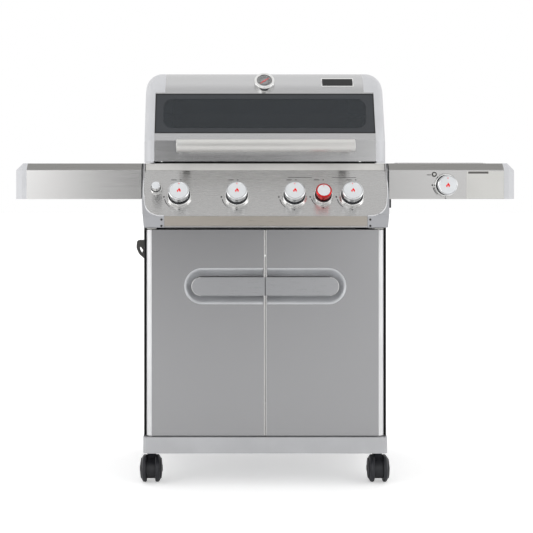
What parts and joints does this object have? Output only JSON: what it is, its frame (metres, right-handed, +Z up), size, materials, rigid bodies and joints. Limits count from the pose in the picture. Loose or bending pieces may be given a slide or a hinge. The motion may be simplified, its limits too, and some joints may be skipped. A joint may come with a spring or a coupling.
{
  "type": "gas barbecue grill",
  "caption": "Free-standing gas barbecue grill with a windowed hood, angled knob panel, two side shelves with a side burner, a two-door cabinet and twin-wheel casters.",
  "frame": {"origin": "on the floor, under the middle of the whole grill's footprint", "axes": "+X to the viewer's right along the shelves, +Y to the back, +Z up"},
  "size_m": [1.37, 0.5583, 1.1447],
  "materials": {
    "base_steel": "satin silver paint",
    "dark_casting": "matt dark grey",
    "burner_steel": "mill finish",
    "cabinet_paint": "satin black powder coat",
    "panel_steel": "brushed along the width",
    "silver_casting": "silver powder coat over casting",
    "grate_iron": "matt enamel",
    "handle_steel": "brushed",
    "hardware": "zinc plated",
    "door_steel": "brushed",
    "firebox_casting": "black high-temperature paint",
    "gas_brass": "machined",
    "tray_steel": "galvanised",
    "chrome": "polished",
    "dark_plastic": "moulded texture",
    "lid_steel": "brushed along the width",
    "window_glass": "dark tinted",
    "frame_paint": "grey enamel",
    "shelf_steel": "brushed along the depth",
    "needle_red": "red paint",
    "rack_chrome": "plated wire",
    "knob_metal": "satin plated",
    "wheel_rubber": "moulded grey tread"
  },
  "bodies": {
    "cart": {"base_tray": "base_steel", "bottle_opener": "dark_casting", "burners": "burner_steel", "cabinet_back": "cabinet_paint", "cabinet_side_left": "cabinet_paint", "cabinet_side_right": "cabinet_paint", "control_panel": "panel_steel", "control_panel_end_left": "silver_casting", "control_panel_end_right": "silver_casting", "cooking_grates": "grate_iron", "door_hinge_pins": "hardware", "firebox": "firebox_casting", "flame_tamers": "burner_steel", "front_rail": "cabinet_paint", "gas_manifold": "gas_brass", "knob_bezels": "chrome", "shelf_left": "shelf_steel", "shelf_left_end_cap": "silver_casting", "shelf_right": "shelf_steel", "shelf_right_end_cap": "silver_casting", "side_burner": "burner_steel", "side_burner_grate": "grate_iron", "warming_rack": "rack_chrome"},
    "lid": {"lid_skin": "lid_steel", "lid_end_left": "silver_casting", "lid_end_right": "silver_casting", "lid_window": "window_glass", "lid_window_frame": "frame_paint", "lid_handle": "handle_steel", "lid_handle_caps": "dark_plastic", "lid_handle_posts": "dark_casting", "thermometer": "chrome"},
    "thermometer_needle": {"thermometer_needle": "needle_red"},
    "door_left": {"door_left": "door_steel", "door_handle_left": "handle_steel"},
    "door_right": {"door_right": "door_steel", "door_handle_right": "handle_steel"},
    "grease_tray": {"grease_tray": "tray_steel"},
    "igniter_button": {"igniter_button": "chrome"},
    "side_burner_lid": {"side_burner_lid": "shelf_steel"},
    "valve_spindle_1": {"valve_spindle_1": "gas_brass"},
    "knob_1": {"knob_1": "knob_metal"},
    "valve_spindle_2": {"valve_spindle_2": "gas_brass"},
    "knob_2": {"knob_2": "knob_metal"},
    "valve_spindle_3": {"valve_spindle_3": "gas_brass"},
    "knob_3": {"knob_3": "knob_metal"},
    "valve_spindle_broil": {"valve_spindle_broil": "gas_brass"},
    "knob_broil": {"knob_broil": "knob_metal"},
    "valve_spindle_4": {"valve_spindle_4": "gas_brass"},
    "knob_4": {"knob_4": "knob_metal"},
    "valve_spindle_side": {"valve_spindle_side": "gas_brass"},
    "knob_side": {"knob_side": "knob_metal"},
    "caster_front_left_housing": {"caster_front_left_housing": "dark_plastic"},
    "caster_front_left_wheels": {"caster_front_left_wheels": "wheel_rubber"},
    "caster_front_right_housing": {"caster_front_right_housing": "dark_plastic"},
    "caster_front_right_wheels": {"caster_front_right_wheels": "wheel_rubber"},
    "caster_rear_left_housing": {"caster_rear_left_housing": "dark_plastic"},
    "caster_rear_left_wheels": {"caster_rear_left_wheels": "wheel_rubber"},
    "caster_rear_right_housing": {"caster_rear_right_housing": "dark_plastic"},
    "caster_rear_right_wheels": {"caster_rear_right_wheels": "wheel_rubber"}
  },
  "joints": [
    {"name": "lid_hinge", "type": "hinge", "parent": "cart", "child": "lid", "pos_m": [0, 0.2642, 0.9], "axis": [-1, 0, 0], "range_deg": [0, 82]},
    {"name": "needle_turn", "type": "hinge", "parent": "lid", "child": "thermometer_needle", "pos_m": [0, -0.12514, 1.11088], "axis": [0, -0.788, 0.6157], "range_deg": [-240, 0], "stiffness_Nm_per_rad": 0.0002},
    {"name": "door_left_hinge", "type": "hinge", "parent": "cart", "child": "door_left", "pos_m": [-0.313, -0.1888, 0.4], "axis": [0, 0, -1], "range_deg": [0, 110]},
    {"name": "door_right_hinge", "type": "hinge", "parent": "cart", "child": "door_right", "pos_m": [0.313, -0.1888, 0.4], "axis": [0, 0, 1], "range_deg": [0, 110]},
    {"name": "grease_tray_slide", "type": "slide", "parent": "cart", "child": "grease_tray", "axis": [0, 1, 0], "range_m": [0, 0.34]},
    {"name": "igniter_button_push", "type": "slide", "parent": "cart", "child": "igniter_button", "axis": [0, 0.8661, -0.4999], "range_m": [0, 0.003], "stiffness_N_per_m": 300},
    {"name": "side_burner_lid_hinge", "type": "hinge", "parent": "cart", "child": "side_burner_lid", "pos_m": [0.494, 0.1722, 0.8906], "axis": [-1, 0, 0], "range_deg": [0, 95]},
    {"name": "knob_1_push", "type": "slide", "parent": "cart", "child": "valve_spindle_1", "axis": [0, 0.8661, -0.4999], "range_m": [0, 0.003], "stiffness_N_per_m": 600},
    {"name": "knob_1_turn", "type": "hinge", "parent": "valve_spindle_1", "child": "knob_1", "pos_m": [-0.234, -0.23336, 0.794], "axis": [0, -0.8661, 0.4999], "range_deg": [0, 180]},
    {"name": "knob_2_push", "type": "slide", "parent": "cart", "child": "valve_spindle_2", "axis": [0, 0.8661, -0.4999], "range_m": [0, 0.003], "stiffness_N_per_m": 600},
    {"name": "knob_2_turn", "type": "hinge", "parent": "valve_spindle_2", "child": "knob_2", "pos_m": [-0.078, -0.23336, 0.794], "axis": [0, -0.8661, 0.4999], "range_deg": [0, 180]},
    {"name": "knob_3_push", "type": "slide", "parent": "cart", "child": "valve_spindle_3", "axis": [0, 0.8661, -0.4999], "range_m": [0, 0.003], "stiffness_N_per_m": 600},
    {"name": "knob_3_turn", "type": "hinge", "parent": "valve_spindle_3", "child": "knob_3", "pos_m": [0.078, -0.23336, 0.794], "axis": [0, -0.8661, 0.4999], "range_deg": [0, 180]},
    {"name": "knob_broil_push", "type": "slide", "parent": "cart", "child": "valve_spindle_broil", "axis": [0, 0.8661, -0.4999], "range_m": [0, 0.003], "stiffness_N_per_m": 600},
    {"name": "knob_broil_turn", "type": "hinge", "parent": "valve_spindle_broil", "child": "knob_broil", "pos_m": [0.156, -0.23336, 0.794], "axis": [0, -0.8661, 0.4999], "range_deg": [0, 180]},
    {"name": "knob_4_push", "type": "slide", "parent": "cart", "child": "valve_spindle_4", "axis": [0, 0.8661, -0.4999], "range_m": [0, 0.003], "stiffness_N_per_m": 600},
    {"name": "knob_4_turn", "type": "hinge", "parent": "valve_spindle_4", "child": "knob_4", "pos_m": [0.234, -0.23336, 0.794], "axis": [0, -0.8661, 0.4999], "range_deg": [0, 180]},
    {"name": "knob_side_push", "type": "slide", "parent": "cart", "child": "valve_spindle_side", "axis": [0, 1, 0], "range_m": [0, 0.003], "stiffness_N_per_m": 600},
    {"name": "knob_side_turn", "type": "hinge", "parent": "valve_spindle_side", "child": "knob_side", "pos_m": [0.493, -0.2118, 0.826], "axis": [0, -1, 0], "range_deg": [0, 180]},
    {"name": "caster_front_left_swivel", "type": "hinge", "parent": "cart", "child": "caster_front_left_housing", "pos_m": [-0.316, -0.1278, 0.1], "axis": [0, 0, 1], "continuous": true},
    {"name": "caster_front_left_roll", "type": "hinge", "parent": "caster_front_left_housing", "child": "caster_front_left_wheels", "pos_m": [-0.316, -0.1518, 0.0375], "axis": [1, 0, 0], "continuous": true},
    {"name": "caster_front_right_swivel", "type": "hinge", "parent": "cart", "child": "caster_front_right_housing", "pos_m": [0.316, -0.1278, 0.1], "axis": [0, 0, 1], "continuous": true},
    {"name": "caster_front_right_roll", "type": "hinge", "parent": "caster_front_right_housing", "child": "caster_front_right_wheels", "pos_m": [0.316, -0.1518, 0.0375], "axis": [1, 0, 0], "continuous": true},
    {"name": "caster_rear_left_swivel", "type": "hinge", "parent": "cart", "child": "caster_rear_left_housing", "pos_m": [-0.316, 0.2122, 0.1], "axis": [0, 0, 1], "continuous": true},
    {"name": "caster_rear_left_roll", "type": "hinge", "parent": "caster_rear_left_housing", "child": "caster_rear_left_wheels", "pos_m": [-0.316, 0.2362, 0.0375], "axis": [1, 0, 0], "continuous": true},
    {"name": "caster_rear_right_swivel", "type": "hinge", "parent": "cart", "child": "caster_rear_right_housing", "pos_m": [0.316, 0.2122, 0.1], "axis": [0, 0, 1], "continuous": true},
    {"name": "caster_rear_right_roll", "type": "hinge", "parent": "caster_rear_right_housing", "child": "caster_rear_right_wheels", "pos_m": [0.316, 0.2362, 0.0375], "axis": [1, 0, 0], "continuous": true}
  ]
}
